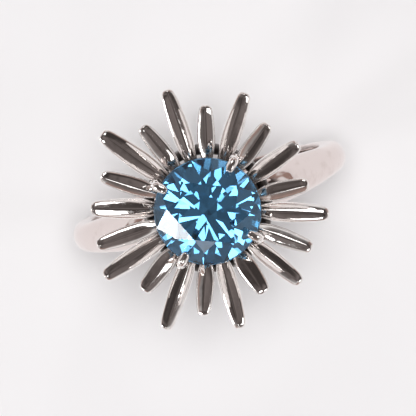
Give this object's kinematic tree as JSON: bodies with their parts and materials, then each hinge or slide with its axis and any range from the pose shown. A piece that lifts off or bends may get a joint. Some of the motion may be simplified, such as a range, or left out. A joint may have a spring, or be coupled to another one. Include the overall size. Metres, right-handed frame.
{
  "type": "cocktail ring",
  "caption": "Cocktail ring: a round faceted blue stone in a claw-set collet, circled by tiers of spear-shaped silver rays, on a wire gallery and a half-round shank.",
  "frame": {"origin": "centre of the finger hole, halfway through the shank's width", "axes": "+Y along the finger towards its tip, +Z from the hole's centre up through the stone, +X across the finger"},
  "size_m": [0.022, 0.0188, 0.0265],
  "materials": {
    "polished_silver": "polished",
    "blue_stone": "polished"
  },
  "bodies": {
    "root": {"shank": "polished_silver", "gallery_ring": "polished_silver", "collet": "polished_silver", "claw_1": "polished_silver", "claw_2": "polished_silver", "claw_3": "polished_silver", "claw_4": "polished_silver", "long_ray_01": "polished_silver", "long_ray_02": "polished_silver", "long_ray_03": "polished_silver", "long_ray_04": "polished_silver", "long_ray_05": "polished_silver", "long_ray_06": "polished_silver", "long_ray_07": "polished_silver", "long_ray_08": "polished_silver", "long_ray_09": "polished_silver", "long_ray_10": "polished_silver", "short_ray_01": "polished_silver", "short_ray_02": "polished_silver", "short_ray_03": "polished_silver", "short_ray_04": "polished_silver", "short_ray_05": "polished_silver", "short_ray_06": "polished_silver", "short_ray_07": "polished_silver", "short_ray_08": "polished_silver", "short_ray_09": "polished_silver", "short_ray_10": "polished_silver", "centre_stone": "blue_stone"}
  },
  "joints": []
}
